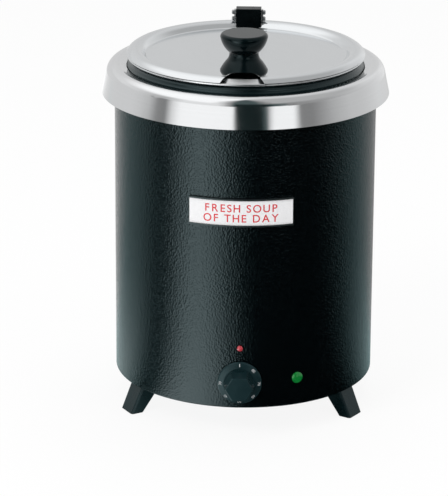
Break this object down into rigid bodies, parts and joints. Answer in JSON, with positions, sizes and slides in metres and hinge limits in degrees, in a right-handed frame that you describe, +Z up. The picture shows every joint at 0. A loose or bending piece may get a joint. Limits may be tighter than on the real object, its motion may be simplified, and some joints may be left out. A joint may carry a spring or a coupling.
{
  "type": "soup kettle",
  "caption": "Free-standing electric soup kettle: round painted shell on splayed feet, polished collar, lift-out pot, hinged lid with ladle notch, thermostat dial and pilot lamps.",
  "frame": {"origin": "on the table, under the middle of the kettle", "axes": "+Z up, -Y towards the front with the dial, +X to the right seen from the front"},
  "size_m": [0.34, 0.3621, 0.4674],
  "materials": {
    "shell_paint": "black hammer-finish powder coat on sheet steel",
    "zinc_sheet": "zinc-plated sheet steel",
    "fastener_steel": "bright zinc-plated steel",
    "foot_plastic": "black satin moulded plastic",
    "polished_steel": "mirror-polished stainless steel",
    "seal_rubber": "black silicone",
    "pan_steel": "drawn stainless steel",
    "pot_steel": "satin stainless steel",
    "lid_steel": "polished stainless steel",
    "knob_plastic": "glossy black phenolic",
    "hinge_plastic": "black satin moulded plastic",
    "hinge_steel": "stamped stainless steel",
    "pin_steel": "dark steel pins",
    "dial_plastic": "charcoal moulded plastic with white print",
    "control_plastic": "off-white moulded plastic",
    "green_lens": "green translucent lens",
    "red_lens": "red translucent lens",
    "holder_plastic": "black extruded plastic",
    "card_white": "white card",
    "heater_aluminium": "cast aluminium",
    "element_steel": "heat-tinted steel sheath",
    "copper_tube": "drawn copper",
    "gland_plastic": "black moulded nylon"
  },
  "bodies": {
    "base": {"outer_shell": "shell_paint", "base_plate": "zinc_sheet", "base_screws": "fastener_steel", "foot_bolts": "fastener_steel", "foot_left": "foot_plastic", "foot_right": "foot_plastic", "foot_rear": "foot_plastic", "top_collar": "polished_steel", "rim_seal": "seal_rubber", "water_pan": "pan_steel", "soup_pot": "pot_steel", "hinge_bracket": "hinge_steel", "pivot_pin": "pin_steel", "bracket_screws": "fastener_steel", "thermostat_body": "control_plastic", "thermostat_nut": "fastener_steel", "power_lamp_lens": "green_lens", "power_lamp_body": "control_plastic", "heating_lamp_lens": "red_lens", "heating_lamp_body": "control_plastic", "label_holder": "holder_plastic", "label_card": "card_white", "heater_plate": "heater_aluminium", "heating_element": "element_steel", "heater_clamp": "zinc_sheet", "heater_stud": "fastener_steel", "heater_nuts": "fastener_steel", "heat_shield": "zinc_sheet", "safety_cutout": "control_plastic", "sensor_bulb": "copper_tube", "capillary_tube": "copper_tube", "terminal_block": "control_plastic", "cable_gland": "gland_plastic", "gland_cap": "gland_plastic", "gland_nut": "gland_plastic"},
    "lid": {"lid_panel": "lid_steel", "knob_base": "knob_plastic", "lid_knob": "knob_plastic", "knob_screw": "fastener_steel", "hinge_block": "hinge_plastic", "hinge_arm_left": "hinge_steel", "hinge_arm_right": "hinge_steel", "hinge_cross_pins": "pin_steel", "hinge_block_screws": "fastener_steel"},
    "dial": {"dial_knob": "dial_plastic", "thermostat_shaft": "fastener_steel"}
  },
  "joints": [
    {"name": "lid_hinge", "type": "hinge", "parent": "base", "child": "lid", "pos_m": [0, 0.154, 0.425], "axis": [-1, 0, 0], "range_deg": [0, 100]},
    {"name": "dial_turn", "type": "hinge", "parent": "base", "child": "dial", "pos_m": [0, -0.165, 0.0673], "axis": [0, 1, 0], "range_deg": [0, 315]}
  ]
}
